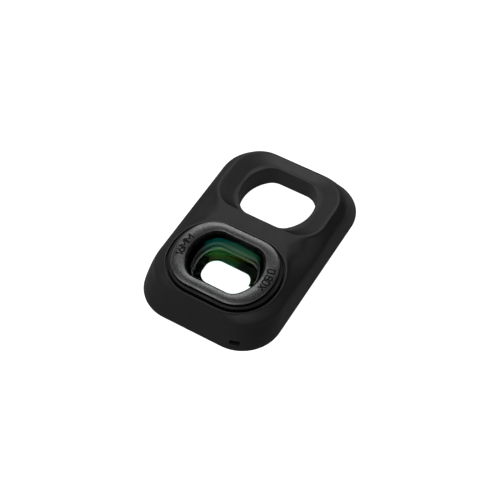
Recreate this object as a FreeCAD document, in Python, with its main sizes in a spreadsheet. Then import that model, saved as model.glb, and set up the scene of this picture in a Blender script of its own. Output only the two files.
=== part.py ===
# Wide-angle conversion lens for the head of a two-lens pocket camera, in millimetres.
# Origin: middle of the footprint, on the rear rim. +Z points out of the front glass, +Y from the
# lens towards the window, +X to the right of an observer who looks at the front with +Y up.
import FreeCAD, Part
import os
from math import atan2, hypot, pi, sqrt

import Sketcher

Vector = FreeCAD.Vector
UP = Vector(0, 0, 1)

# Every driving size: name, value and what it sets.
SIZES = [
    ("shell_width", 30.0, "footprint across"),
    ("shell_length", 46.8, "footprint from end to end"),
    ("shell_height", 6.5, "rear rim to the top of the moulding"),
    ("shell_corner", 8.4, "plan radius of the housing's corners"),
    ("low_level", 2.6, "height of the lower wall section"),
    ("low_side_inset", 0.3, "how far the side wall has come in there"),
    ("low_end_inset", 1.4, "how far the end wall has come in there"),
    ("high_level", 4.8, "height of the upper wall section"),
    ("high_side_inset", 0.95, "how far the side wall has come in there"),
    ("high_end_inset", 2.67, "how far the end wall has come in there"),
    ("foot_bevel", 0.35, "height of the bevel along the bottom edge"),
    ("foot_inset", 0.25, "how far that bevel comes in"),
    ("crest_bevel", 0.2, "bevel of the crest round the top"),
    ("land", 0.3, "top land between a cut-out and the wall"),
    ("saddle_radius", 5.4, "plan radius of the waist between lens and window"),
    ("lens_place", -10.42, "lens axis along Y"),
    ("front_radius", 7.75, "front glass, round part"),
    ("front_flat", 6.1, "front glass, axis to flat"),
    ("front_corner", 3.0, "front glass, corner"),
    ("front_edge", 2.3, "front glass, rim thickness"),
    ("front_curve", 38.0, "front glass, outer radius of curvature"),
    ("hollow_curve", 32.0, "front glass, inner radius of curvature"),
    ("glass_fit", 0.05, "clearance of the glass and the spacer in the barrel"),
    ("relief_gap", 0.15, "how much wider than the dome a ring is turned out over it"),
    ("barrel_wall", 1.55, "barrel beyond the front glass at the round sides"),
    ("barrel_flat_wall", 1.4, "barrel beyond the front glass at the flats"),
    ("barrel_corner", 4.0, "barrel body, corner"),
    ("barrel_fit", 0.1, "clearance of the barrel in the moulding"),
    ("barrel_lip", 0.5, "barrel lip under the rear glass"),
    ("mouth_margin", 0.2, "bezel opening beyond the front glass at the round sides"),
    ("mouth_flat_margin", 0.17, "bezel opening beyond the front glass at the flats"),
    ("mouth_corner", 3.2, "bezel opening, corner"),
    ("bezel_band", 2.73, "bezel ring, width at the round sides"),
    ("bezel_flat_band", 1.95, "bezel ring, width at the flats"),
    ("bezel_corner", 6.33, "bezel ring, corner"),
    ("bezel_thick", 1.0, "bezel ring, height"),
    ("bezel_bevel", 0.16, "bevel of the outer upper edge"),
    ("collar_ledge", 0.92, "collar beyond the bezel at the round sides"),
    ("collar_flat_ledge", 0.64, "collar beyond the bezel at the flats"),
    ("collar_corner", 8.0, "collar, corner"),
    ("collar_rise", 0.4, "collar above the top of the moulding"),
    ("collar_edge", 0.12, "bevel of the collar"),
    ("collar_gap", 0.4, "open gap between collar and groove"),
    ("groove_depth", 0.9, "collar groove below the top"),
    ("hood_fit", 0.08, "clearance of the hood ring in the bezel"),
    ("hood_drop", 0.15, "hood ring below the bezel's face"),
    ("hood_wall", 0.2, "rim of the hood ring at its top"),
    ("hood_step", 0.5, "straight lip at the foot of the funnel"),
    ("sight_lip", 0.25, "hood ring's lip over the rim of the front glass"),
    ("sight_corner", 2.8, "clear opening over the front glass, corner"),
    ("spacer_height", 1.7, "rear glass to front glass at the rims"),
    ("spacer_step", 0.8, "height of the spacer's wider upper step"),
    ("wide_lip", 1.2, "spacer bore inside the front glass's outline, above the step"),
    ("narrow_lip", 1.65, "spacer bore inside the front glass's outline, below the step"),
    ("bore_corner", 2.4, "corner of the spacer's and the barrel's bores"),
    ("rear_step", 1.15, "rear glass inside the front glass's outline"),
    ("rear_rim", 1.0, "rear glass, rim thickness"),
    ("rear_front_curve", 32.0, "rear glass, forward radius of curvature"),
    ("rear_back_curve", 60.0, "rear glass, rearward radius of curvature"),
    ("mask_thick", 0.15, "field mask"),
    ("mask_width", 9.4, "field mask opening across"),
    ("mask_height", 5.8, "field mask opening along the plate"),
    ("mask_corner", 2.2, "field mask opening, corner"),
    ("mask_margin", 0.4, "field mask beyond the front glass's outline"),
    ("window_place", 10.41, "window centre along Y"),
    ("window_radius", 7.9, "window, round part"),
    ("window_flat", 6.66, "window, centre to flat"),
    ("window_corner", 3.3, "window, corner"),
    ("window_lip", 0.2, "bevel of the window's front edge"),
    ("dish_side", 4.2, "dish beyond the window at the sides"),
    ("dish_near", 0.75, "dish beyond the window at the near edge"),
    ("dish_far", 2.28, "dish beyond the window at the far edge"),
    ("dish_near_corner", 5.0, "plan radius of the dish's near corners"),
    ("dish_far_corner", 6.45, "plan radius of the dish's far corners"),
    ("dish_depth", 1.0, "dish below the top at the window"),
    ("dish_floor", 0.3, "flat strip of the dish round the window"),
    ("rim_wall", 1.1, "moulding round the rear cover"),
    ("cover_gap", 0.1, "clearance round the rear cover"),
    ("cover_thick", 0.85, "rear cover"),
    ("cover_inset", 0.4, "rear cover above the rear rim"),
    ("cover_sight", 0.4, "cover opening beyond the mask opening"),
    ("cover_window_gap", 0.15, "cover opening beyond the window"),
    ("pad_margin", 0.3, "rear pad beyond the barrel"),
    ("pad_corner", 4.4, "rear pad, corner"),
    ("pad_width", 1.9, "rear pad, width of its band"),
    ("pad_thick", 0.5, "rear pad"),
    ("pad_sunk", 0.25, "rear pad's bed in the cover"),
    ("pad_fit", 0.08, "clearance of the pad in its bed"),
    ("magnet_length", 4.0, "magnet across the plate"),
    ("magnet_width", 2.0, "magnet along the plate"),
    ("magnet_height", 2.0, "magnet, height"),
    ("magnet_fit", 0.1, "clearance round a magnet"),
    ("magnet_side", 5.1, "magnet's middle to the side of the footprint"),
    ("magnet_end", 4.8, "magnet's middle to the end of the footprint"),
    ("notch_side", 6.0, "release notch's middle to the side of the footprint"),
    ("notch_width", 2.0, "release notch, width"),
    ("notch_height", 0.65, "release notch, height"),
    ("notch_level", 1.35, "release notch above the rear rim"),
    ("notch_reach", 2.3, "release notch, depth from the near end"),
]

doc = FreeCAD.newDocument("conversion_lens")
sheet = doc.addObject("Spreadsheet::Sheet", "sizes")
for row, (alias, amount, note) in enumerate(SIZES, start=1):
    sheet.set(f"A{row}", alias)
    sheet.set(f"B{row}", str(amount))
    sheet.set(f"C{row}", note)
    sheet.setAlias(f"B{row}", alias)
doc.recompute()


class Size:
    """A length held twice: as text in terms of the sheet, and as its present amount."""

    def __init__(self, text, amount):
        self.text = text
        self.amount = amount

    def __add__(self, other):
        other = as_size(other)
        return Size(f"({self.text} + {other.text})", self.amount + other.amount)

    def __sub__(self, other):
        other = as_size(other)
        return Size(f"({self.text} - {other.text})", self.amount - other.amount)

    def __mul__(self, factor):
        return Size(f"({self.text} * {factor})", self.amount * factor)

    def __neg__(self):
        return self * -1


def as_size(given):
    return given if isinstance(given, Size) else Size(str(given), given)


S = {alias: Size(f"sizes.{alias}", float(sheet.get(alias))) for alias, _, _ in SIZES}
ZERO = Size("0", 0.0)

# Levels and outlines that several pieces share.
HALF_WIDTH = S["shell_width"] * 0.5
HALF_LENGTH = S["shell_length"] * 0.5
LENS = S["lens_place"]
TOP = S["shell_height"]
GROOVE_FLOOR = TOP - S["groove_depth"]
COLLAR_TOP = TOP + S["collar_rise"]
BEZEL_TOP = COLLAR_TOP + S["bezel_thick"]
SPACER_TOP = COLLAR_TOP - S["front_edge"]
SPACER_FOOT = SPACER_TOP - S["spacer_height"]
REAR_SEAT = SPACER_FOOT - S["rear_rim"]
BARREL_FOOT = REAR_SEAT - S["barrel_lip"]
COVER_TOP = S["cover_inset"] + S["cover_thick"]
PAD_TOP = S["cover_inset"] + S["pad_sunk"]
DISH_BOTTOM = TOP - S["dish_depth"]
MAGNET_ACROSS = HALF_WIDTH - S["magnet_side"]
MAGNET_ALONG = HALF_LENGTH - S["magnet_end"]
MAGNET_PLACES = [
    ("near_left", -MAGNET_ACROSS, -MAGNET_ALONG),
    ("near_right", MAGNET_ACROSS, -MAGNET_ALONG),
    ("far_left", -MAGNET_ACROSS, MAGNET_ALONG),
    ("far_right", MAGNET_ACROSS, MAGNET_ALONG),
]


def grown(outline, by):
    """The same outline moved outwards by a distance, inwards if it is negative."""
    return tuple(size + by for size in outline)


def resized(outline, at_round, at_flat, corner):
    """An outline beyond another by one distance at its round sides and one at its flats."""
    return (outline[0] + at_round, outline[1] + at_flat, corner)


# Each outline is a round size, an axis-to-flat size and a corner.
FRONT = (S["front_radius"], S["front_flat"], S["front_corner"])
SIGHT = resized(FRONT, -S["sight_lip"], -S["sight_lip"], S["sight_corner"])
WIDE = resized(FRONT, -S["wide_lip"], -S["wide_lip"], S["bore_corner"])
NARROW = resized(FRONT, -S["narrow_lip"], -S["narrow_lip"], S["bore_corner"])
REAR = resized(FRONT, -S["rear_step"], -S["rear_step"], S["bore_corner"])
MASK = resized(FRONT, S["mask_margin"], S["mask_margin"], S["bore_corner"])
BARREL = resized(FRONT, S["barrel_wall"], S["barrel_flat_wall"], S["barrel_corner"])
MOUTH = resized(FRONT, S["mouth_margin"], S["mouth_flat_margin"], S["mouth_corner"])
HOOD = grown(MOUTH, -S["hood_fit"])
BEZEL = resized(MOUTH, S["bezel_band"], S["bezel_flat_band"], S["bezel_corner"])
COLLAR = resized(BEZEL, S["collar_ledge"], S["collar_flat_ledge"], S["collar_corner"])
GROOVE = grown(COLLAR, S["collar_gap"])
PAD = resized(BARREL, S["pad_margin"], S["pad_margin"], S["pad_corner"])
PAD_BORE = grown(PAD, -S["pad_width"])
WINDOW = (S["window_radius"], S["window_flat"], S["window_corner"])

# The dish lies round the window, and the top outline and the wall sections follow it.
DISH_HALF = S["window_radius"] + S["dish_side"]
DISH_NEAR = S["window_place"] - S["window_flat"] - S["dish_near"]
DISH_FAR = S["window_place"] + S["window_flat"] + S["dish_far"]
BEND_PLACE = DISH_NEAR + S["dish_near_corner"]
BEND_ACROSS = DISH_HALF - S["dish_near_corner"]


def new_body(name, along=ZERO):
    """A sub-part whose own origin lies on the centre line, at the given place along Y."""
    body = doc.addObject("PartDesign::Body", name)
    body.Label = name
    body.setExpression(".Placement.Base.y", along.text)
    return body


def new_sketch(body, name, level=ZERO, plane="XY_Plane"):
    sketch = body.newObject("Sketcher::SketchObject", name)
    support = next(item for item in body.Origin.OriginFeatures if item.Role == plane)
    sketch.AttachmentSupport = (support, [""])
    sketch.MapMode = "FlatFace"
    sketch.setExpression(".AttachmentOffset.Base.z", level.text)
    return sketch


class Outline:
    """Lines and arcs of one sketch, held by constraints that follow the sheet."""

    def __init__(self, sketch):
        self.sketch = sketch

    def line(self, start, end):
        return self.sketch.addGeometry(Part.LineSegment(Vector(*start, 0), Vector(*end, 0)), False)

    def arc(self, centre, radius, first, last):
        """An arc that runs counter-clockwise between two directions, in radians."""
        circle = Part.Circle(Vector(*centre, 0), UP, radius)
        return self.sketch.addGeometry(Part.ArcOfCircle(circle, first, last), False)

    def hold(self, *terms):
        return self.sketch.addConstraint(Sketcher.Constraint(*terms))

    def bound(self, kind, terms, size):
        """A dimension tied to a size."""
        index = self.hold(kind, *terms, size.amount)
        self.sketch.setExpression(f"Constraints[{index}]", size.text)

    def meet(self, one, one_end, other, other_end, smooth=True):
        self.hold("Tangent" if smooth else "Coincident", one, one_end, other, other_end)

    def across(self, item, point, size):
        """X of a point. Its sign sets the order, because a dimension is positive."""
        if size.amount >= 0:
            self.bound("DistanceX", (-1, 1, item, point), size)
        else:
            self.bound("DistanceX", (item, point, -1, 1), -size)

    def along(self, item, point, size):
        """Y of a point."""
        if size.amount >= 0:
            self.bound("DistanceY", (-1, 1, item, point), size)
        else:
            self.bound("DistanceY", (item, point, -1, 1), -size)

    def radius(self, item, size):
        self.bound("Radius", (item,), size)

    def on_centre_line(self, item, point):
        self.hold("PointOnObject", item, point, -2)


def cut_circle(sketch, outline, place=ZERO):
    """A circle cut by two flats across Y, its four corners rounded."""
    radius, flat, corner = outline
    big = radius.amount
    small = corner.amount
    middle = place.amount
    rise = flat.amount - small
    run = sqrt((big - small) ** 2 - rise ** 2)
    turn = atan2(rise, run)
    draw = Outline(sketch)
    right = draw.arc((0, middle), big, -turn, turn)
    far_right = draw.arc((run, middle + rise), small, turn, pi / 2)
    far = draw.line((run, middle + flat.amount), (-run, middle + flat.amount))
    far_left = draw.arc((-run, middle + rise), small, pi / 2, pi - turn)
    left = draw.arc((0, middle), big, pi - turn, pi + turn)
    near_left = draw.arc((-run, middle - rise), small, pi + turn, 3 * pi / 2)
    near = draw.line((-run, middle - flat.amount), (run, middle - flat.amount))
    near_right = draw.arc((run, middle - rise), small, 3 * pi / 2, 2 * pi - turn)
    ring = [right, far_right, far, far_left, left, near_left, near, near_right]
    for item, following in zip(ring, ring[1:] + ring[:1]):
        draw.meet(item, 2, following, 1)
    for item in (far, near):
        draw.hold("Horizontal", item)
    draw.along(far, 1, place + flat)
    draw.along(near, 1, place - flat)
    for item in (right, left):
        draw.radius(item, radius)
        draw.on_centre_line(item, 3)
        if place is ZERO:
            draw.hold("PointOnObject", item, 3, -1)
        else:
            draw.along(item, 3, place)
    for item in (far_right, far_left, near_left, near_right):
        draw.radius(item, corner)


def round_box(sketch, half_across, near, far, near_corner, far_corner, place=ZERO):
    """A rectangle on the centre line with rounded corners; place moves its middle along X."""
    left_edge = place - half_across
    right_edge = place + half_across
    x0, x1 = left_edge.amount, right_edge.amount
    y0, y1 = near.amount, far.amount
    a, b = near_corner.amount, far_corner.amount
    draw = Outline(sketch)
    ring = [
        draw.line((x0 + a, y0), (x1 - a, y0)),
        draw.arc((x1 - a, y0 + a), a, -pi / 2, 0),
        draw.line((x1, y0 + a), (x1, y1 - b)),
        draw.arc((x1 - b, y1 - b), b, 0, pi / 2),
        draw.line((x1 - b, y1), (x0 + b, y1)),
        draw.arc((x0 + b, y1 - b), b, pi / 2, pi),
        draw.line((x0, y1 - b), (x0, y0 + a)),
        draw.arc((x0 + a, y0 + a), a, pi, 3 * pi / 2),
    ]
    for item, following in zip(ring, ring[1:] + ring[:1]):
        draw.meet(item, 2, following, 1)
    for item in (ring[0], ring[4]):
        draw.hold("Horizontal", item)
    for item in (ring[2], ring[6]):
        draw.hold("Vertical", item)
    draw.along(ring[0], 1, near)
    draw.along(ring[4], 1, far)
    draw.across(ring[2], 1, right_edge)
    draw.across(ring[6], 1, left_edge)
    for item in (ring[1], ring[7]):
        draw.radius(item, near_corner)
    for item in (ring[3], ring[5]):
        draw.radius(item, far_corner)


def square_box(sketch, half_across, half_along, across, along):
    """A rectangle with sharp corners round a given middle."""
    right, left = across + half_across, across - half_across
    far, near = along + half_along, along - half_along
    corners = [(left, near), (right, near), (right, far), (left, far)]
    points = [(x.amount, y.amount) for x, y in corners]
    draw = Outline(sketch)
    ring = [draw.line(start, end) for start, end in zip(points, points[1:] + points[:1])]
    for item, following in zip(ring, ring[1:] + ring[:1]):
        draw.meet(item, 2, following, 1, smooth=False)
    for item, kind in zip(ring, ("Horizontal", "Vertical", "Horizontal", "Vertical")):
        draw.hold(kind, item)
    for item in (ring[0], ring[2]):
        draw.across(item, 1, left if item == ring[0] else right)
        draw.along(item, 1, near if item == ring[0] else far)


def feature(body, kind, name, **settings):
    made = body.newObject(f"PartDesign::{kind}", name)
    for key, given in settings.items():
        setattr(made, key, given)
    body.Tip = made
    return made


def pad(body, sketch, name, height):
    made = feature(body, "Pad", name, Profile=sketch)
    made.setExpression("Length", height.text)
    doc.recompute()
    return made


def removed(body, made, before):
    """Stops the build if a cut took nothing away."""
    doc.recompute()
    if made.Shape.isNull() or made.Shape.Volume > before - 1e-4:
        raise RuntimeError(f"{body.Label}: {made.Name} removes nothing")
    return made


def pocket(body, sketch, name, depth, upwards=False):
    """A cut that runs down from its sketch, or up into the solid from below."""
    before = body.Shape.Volume
    made = feature(body, "Pocket", name, Profile=sketch, Reversed=upwards)
    made.setExpression("Length", depth.text)
    return removed(body, made, before)


def edges_where(shape, test):
    return [f"Edge{index}" for index, edge in enumerate(shape.Edges, start=1) if test(edge)]


def bevelled(body, name, size, test):
    base = body.Tip
    made = feature(body, "Chamfer", name, Base=(base, edges_where(base.Shape, test)))
    made.setExpression("Size", size.text)
    doc.recompute()
    return made


def lies_at(level, test=None):
    """A test for edges that lie flat at a level, and that meet a further test if one is given."""
    def check(edge):
        box = edge.BoundBox
        flat = abs(box.ZMin - level.amount) < 1e-4 and abs(box.ZMax - level.amount) < 1e-4
        return flat and (test is None or test(edge))
    return check


def within(outline, along=0.0, slack=1e-3):
    """A test for edges that lie inside a cut circle whose middle is on the centre line."""
    def check(edge):
        points = [(point.x, point.y - along) for point in edge.discretize(5)]
        return all(hypot(x, y) <= outline[0].amount + slack and abs(y) <= outline[1].amount + slack
                   for x, y in points)
    return check


def beyond(outline):
    """A test for edges that lie outside a cut circle about the lens axis."""
    return lambda edge: not within(outline)(edge)


# The top outline follows the collar groove and the dish, each with its land, joined by a waist.
def waist(land):
    """Centre of the waist's arc on the right, and where it meets its two neighbours."""
    lens = Vector(0, LENS.amount, 0)
    bend = Vector(BEND_ACROSS.amount, BEND_PLACE.amount, 0)
    round_lens = (GROOVE[0] + land).amount
    round_bend = (S["dish_near_corner"] + land).amount
    from_lens = round_lens + (S["saddle_radius"] - land).amount
    from_bend = round_bend + (S["saddle_radius"] - land).amount
    axis = bend - lens
    span = axis.Length
    axis.normalize()
    step = (from_lens ** 2 - from_bend ** 2 + span ** 2) / (2 * span)
    out = sqrt(from_lens ** 2 - step ** 2)
    centre = lens + axis * step + Vector(axis.y, -axis.x, 0) * out
    first = lens + (centre - lens) * (round_lens / from_lens)
    last = bend + (centre - bend) * (round_bend / from_bend)
    return centre, first, last


def direction(centre, point):
    return atan2(point.y - centre.y, point.x - centre.x)


def top_outline(sketch, land):
    """The waisted outline of the top, drawn counter-clockwise from the near flat."""
    draw = Outline(sketch)
    centre, first, last = waist(land)
    lens = Vector(0, LENS.amount, 0)
    bend = Vector(BEND_ACROSS.amount, BEND_PLACE.amount, 0)
    lens_radius, near_corner = GROOVE[0] + land, GROOVE[2] + land
    near_place, far_place = LENS - GROOVE[1] - land, DISH_FAR + land
    half_across, far_corner = DISH_HALF + land, S["dish_far_corner"] + land
    saddle, bend_radius = S["saddle_radius"] - land, S["dish_near_corner"] + land
    big, corner = lens_radius.amount, near_corner.amount
    drop = (LENS - near_place).amount - corner
    run = sqrt((big - corner) ** 2 - drop ** 2)
    turn = atan2(drop, run)
    half, far, bow = half_across.amount, far_place.amount, far_corner.amount
    near = draw.line((-run, near_place.amount), (run, near_place.amount))
    far_edge = draw.line((half - bow, far), (bow - half, far))
    sides = {}
    for sign in (1, -1):
        def swept(middle, radius, start, end):
            """The arc between two directions given for the right side, mirrored for the left."""
            if sign == 1:
                return draw.arc(middle, radius, start, end)
            return draw.arc((-middle[0], middle[1]), radius, pi - end, pi - start)
        sides[sign] = [
            swept((run, lens.y - drop), corner, -pi / 2, -turn),
            swept((0, lens.y), big, -turn, direction(lens, first)),
            swept((centre.x, centre.y), saddle.amount,
                  direction(centre, last), direction(centre, first) + 2 * pi),
            swept((bend.x, bend.y), bend_radius.amount, direction(bend, last), 0),
            draw.line((sign * half, bend.y), (sign * half, far - bow)),
            swept((half - bow, far - bow), bow, 0, pi / 2),
        ]
    # The end of each right-hand arc is the start of its mirror image, and the waist runs backwards.
    for sign, start, end in ((1, 1, 2), (-1, 2, 1)):
        corner_arc, lens_arc, waist_arc, bend_arc, side, far_arc = sides[sign]
        draw.meet(near, 2 if sign == 1 else 1, corner_arc, start)
        draw.meet(corner_arc, end, lens_arc, start)
        draw.meet(lens_arc, end, waist_arc, end)
        draw.meet(waist_arc, start, bend_arc, start)
        draw.meet(bend_arc, end, side, 1)
        draw.meet(side, 2, far_arc, start)
        draw.meet(far_arc, end, far_edge, 1 if sign == 1 else 2)
        draw.radius(corner_arc, near_corner)
        draw.radius(lens_arc, lens_radius)
        draw.on_centre_line(lens_arc, 3)
        draw.along(lens_arc, 3, LENS)
        draw.radius(waist_arc, saddle)
        draw.radius(bend_arc, bend_radius)
        draw.along(bend_arc, 3, BEND_PLACE)
        draw.hold("Vertical", side)
        draw.across(side, 1, half_across * sign)
        draw.radius(far_arc, far_corner)
    draw.hold("Horizontal", near)
    draw.hold("Horizontal", far_edge)
    draw.along(near, 1, near_place)
    draw.along(far_edge, 1, far_place)


def wall_section(sketch, side_inset, end_inset, corner):
    """A rounded rectangle, its sides divided where the top outline changes its curve along Y."""
    draw = Outline(sketch)
    half = HALF_WIDTH - side_inset
    end = HALF_LENGTH - end_inset
    x, y, bow = half.amount, end.amount, corner.amount
    _, first, last = waist(S["land"])
    breaks = [Size(str(round(first.y, 4)), first.y), Size(str(round(last.y, 4)), last.y), BEND_PLACE]
    heights = [bow - y] + [place.amount for place in breaks] + [y - bow]
    near = draw.line((bow - x, -y), (x - bow, -y))
    far_edge = draw.line((x - bow, y), (bow - x, y))
    for sign in (1, -1):
        start, end_point = (1, 2) if sign == 1 else (2, 1)
        near_turn = (-pi / 2, 0) if sign == 1 else (pi, 3 * pi / 2)
        far_turn = (0, pi / 2) if sign == 1 else (pi / 2, pi)
        near_arc = draw.arc((sign * (x - bow), bow - y), bow, *near_turn)
        runs = [draw.line((sign * x, low), (sign * x, high)) for low, high in zip(heights, heights[1:])]
        far_arc = draw.arc((sign * (x - bow), y - bow), bow, *far_turn)
        draw.meet(near, 2 if sign == 1 else 1, near_arc, start)
        draw.meet(near_arc, end_point, runs[0], 1)
        for run, following, place in zip(runs, runs[1:], breaks):
            draw.meet(run, 2, following, 1, smooth=False)
            draw.along(run, 2, place)
        draw.meet(runs[-1], 2, far_arc, start)
        draw.meet(far_arc, end_point, far_edge, 1 if sign == 1 else 2)
        for run in runs:
            draw.hold("Vertical", run)
        draw.across(runs[0], 1, half * sign)
        draw.radius(near_arc, corner)
        draw.radius(far_arc, corner)
    draw.hold("Horizontal", near)
    draw.hold("Horizontal", far_edge)
    draw.along(near, 1, -end)
    draw.along(far_edge, 1, end)


def main_shell():
    """Moulded housing: walls that lean in by bands up to a waisted top, with dish, window and groove."""
    body = new_body("main_shell")
    sole = new_sketch(body, "shell_sole")
    wall_section(sole, S["foot_inset"], S["foot_inset"], S["shell_corner"] - S["foot_inset"])
    foot = new_sketch(body, "shell_foot", S["foot_bevel"])
    wall_section(foot, ZERO, ZERO, S["shell_corner"])
    low = new_sketch(body, "shell_low", S["low_level"])
    wall_section(low, S["low_side_inset"], S["low_end_inset"], S["shell_corner"])
    high = new_sketch(body, "shell_high", S["high_level"])
    wall_section(high, S["high_side_inset"], S["high_end_inset"], S["shell_corner"])
    crest = new_sketch(body, "shell_crest", TOP - S["crest_bevel"])
    top_outline(crest, S["land"])
    brow = new_sketch(body, "shell_brow", TOP)
    top_outline(brow, S["land"] - S["crest_bevel"])
    feature(body, "AdditiveLoft", "shell_wall", Profile=sole, Sections=[foot, low, high, crest, brow],
            Ruled=True)
    doc.recompute()

    dish_rim = new_sketch(body, "dish_rim", TOP)
    round_box(dish_rim, DISH_HALF, DISH_NEAR, DISH_FAR, S["dish_near_corner"], S["dish_far_corner"])
    dish_base = new_sketch(body, "dish_base", DISH_BOTTOM)
    edge = S["dish_floor"]
    round_box(dish_base, S["window_radius"] + edge, S["window_place"] - S["window_flat"] - edge,
              S["window_place"] + S["window_flat"] + edge, S["dish_near_corner"], S["dish_near_corner"])
    before = body.Shape.Volume
    dish = feature(body, "SubtractiveLoft", "dish", Profile=dish_rim, Sections=[dish_base])
    removed(body, dish, before)

    window = new_sketch(body, "window_outline", TOP)
    cut_circle(window, WINDOW, S["window_place"])
    pocket(body, window, "window", TOP)
    bevelled(body, "window_edge", S["window_lip"],
             lies_at(DISH_BOTTOM, within(WINDOW, S["window_place"].amount)))

    groove = new_sketch(body, "groove_outline", TOP)
    cut_circle(groove, GROOVE, LENS)
    pocket(body, groove, "collar_groove", S["groove_depth"])
    bore = new_sketch(body, "bore_outline", TOP)
    cut_circle(bore, grown(BARREL, S["barrel_fit"]), LENS)
    pocket(body, bore, "barrel_bore", TOP)

    seat = new_sketch(body, "cover_seat_outline")
    half = HALF_WIDTH - S["rim_wall"]
    end = HALF_LENGTH - S["rim_wall"]
    corner = S["shell_corner"] - S["rim_wall"]
    round_box(seat, half, -end, end, corner, corner)
    pocket(body, seat, "cover_seat", COVER_TOP, upwards=True)

    magnets = new_sketch(body, "magnet_outlines", COVER_TOP)
    for _, across, along in MAGNET_PLACES:
        square_box(magnets, S["magnet_length"] * 0.5 + S["magnet_fit"],
                   S["magnet_width"] * 0.5 + S["magnet_fit"], across, along)
    pocket(body, magnets, "magnet_pockets", S["magnet_height"] + S["magnet_fit"], upwards=True)

    # The notch's sketch stands in the upright plane across the near end, so its Y is height.
    notch = new_sketch(body, "notch_outline", HALF_LENGTH, plane="XZ_Plane")
    blunt = S["notch_height"] * 0.3
    round_box(notch, S["notch_width"] * 0.5, S["notch_level"], S["notch_level"] + S["notch_height"],
              blunt, blunt, place=HALF_WIDTH - S["notch_side"])
    pocket(body, notch, "release_notch", S["notch_reach"])
    return body


def back_cover():
    """Plate that closes the moulding from behind, with a bed for the pad."""
    body = new_body("back_cover")
    plate = new_sketch(body, "plate_outline", S["cover_inset"])
    margin = S["rim_wall"] + S["cover_gap"]
    half = HALF_WIDTH - margin
    end = HALF_LENGTH - margin
    corner = S["shell_corner"] - margin
    round_box(plate, half, -end, end, corner, corner)
    pad(body, plate, "plate", S["cover_thick"])
    sight = new_sketch(body, "sight_outline", COVER_TOP)
    more = S["cover_sight"]
    round_box(sight, S["mask_width"] * 0.5 + more, LENS - S["mask_height"] * 0.5 - more,
              LENS + S["mask_height"] * 0.5 + more, S["mask_corner"] + more, S["mask_corner"] + more)
    pocket(body, sight, "sight_opening", S["cover_thick"])
    window = new_sketch(body, "window_outline", COVER_TOP)
    cut_circle(window, grown(WINDOW, S["cover_window_gap"]), S["window_place"])
    pocket(body, window, "window_opening", S["cover_thick"])
    bed = new_sketch(body, "bed_outline", S["cover_inset"])
    cut_circle(bed, grown(PAD, S["pad_fit"]), LENS)
    cut_circle(bed, grown(PAD_BORE, -S["pad_fit"]), LENS)
    pocket(body, bed, "pad_bed", S["pad_sunk"], upwards=True)
    return body


def ring(name, outer, inner, foot, height, along=LENS):
    """A plain ring between two cut circles, on the lens axis."""
    body = new_body(name, along)
    sketch = new_sketch(body, f"{name}_outline", foot)
    cut_circle(sketch, outer)
    cut_circle(sketch, inner)
    pad(body, sketch, f"{name}_band", height)
    return body


def lens_pad():
    return ring("lens_pad", PAD, PAD_BORE, PAD_TOP - S["pad_thick"], S["pad_thick"])


def lens_barrel():
    """Holder of the glasses: a flat-sided tube with a collar, stepped bores and a rear lip."""
    body = new_body("lens_barrel", LENS)
    tube = new_sketch(body, "tube_outline", BARREL_FOOT)
    cut_circle(tube, BARREL)
    pad(body, tube, "tube", COLLAR_TOP - BARREL_FOOT)
    collar = new_sketch(body, "collar_outline", GROOVE_FLOOR)
    cut_circle(collar, COLLAR)
    pad(body, collar, "collar", COLLAR_TOP - GROOVE_FLOOR)
    steps = [
        ("front_bore", grown(FRONT, S["glass_fit"]), COLLAR_TOP, SPACER_FOOT),
        ("rear_bore", grown(REAR, S["glass_fit"]), SPACER_FOOT, REAR_SEAT),
        ("lip_bore", NARROW, REAR_SEAT, BARREL_FOOT),
    ]
    for name, outline, upper, lower in steps:
        sketch = new_sketch(body, f"{name}_outline", upper)
        cut_circle(sketch, outline)
        pocket(body, sketch, name, upper - lower)
    bevelled(body, "collar_bevel", S["collar_edge"],
             lies_at(COLLAR_TOP, beyond(BARREL)))
    return body


def lens_bezel():
    """Anodised ring on the collar, bevelled round its outer edge."""
    body = ring("lens_bezel", BEZEL, MOUTH, COLLAR_TOP, S["bezel_thick"])
    bevelled(body, "bezel_edge", S["bezel_bevel"],
             lies_at(BEZEL_TOP, beyond(MOUTH)))
    return body


def ball(name, curve, half_width, level):
    """A sphere on the lens axis, below a level, that meets the level at a half width."""
    piece = doc.addObject("Part::Sphere", name)
    piece.Placement = FreeCAD.Placement(Vector(0, 0, 0), FreeCAD.Rotation(Vector(0, 1, 0), 90))
    piece.setExpression("Radius", curve.text)
    piece.setExpression(".Placement.Base.y", LENS.text)
    piece.setExpression(".Placement.Base.z", f"{level.text} - sqrt({curve.text}^2 - {half_width.text}^2)")
    return piece


def combined(kind, name, base, tool):
    """The common volume of two solids, or the first less the second. Stops if nothing changes."""
    made = doc.addObject(f"Part::{kind}", name)
    made.Label = name
    made.Base = base
    made.Tool = tool
    doc.recompute()
    if made.Shape.isNull() or made.Shape.Volume > base.Shape.Volume - 1e-4:
        raise RuntimeError(f"{name} takes nothing from {base.Label}")
    return made


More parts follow.
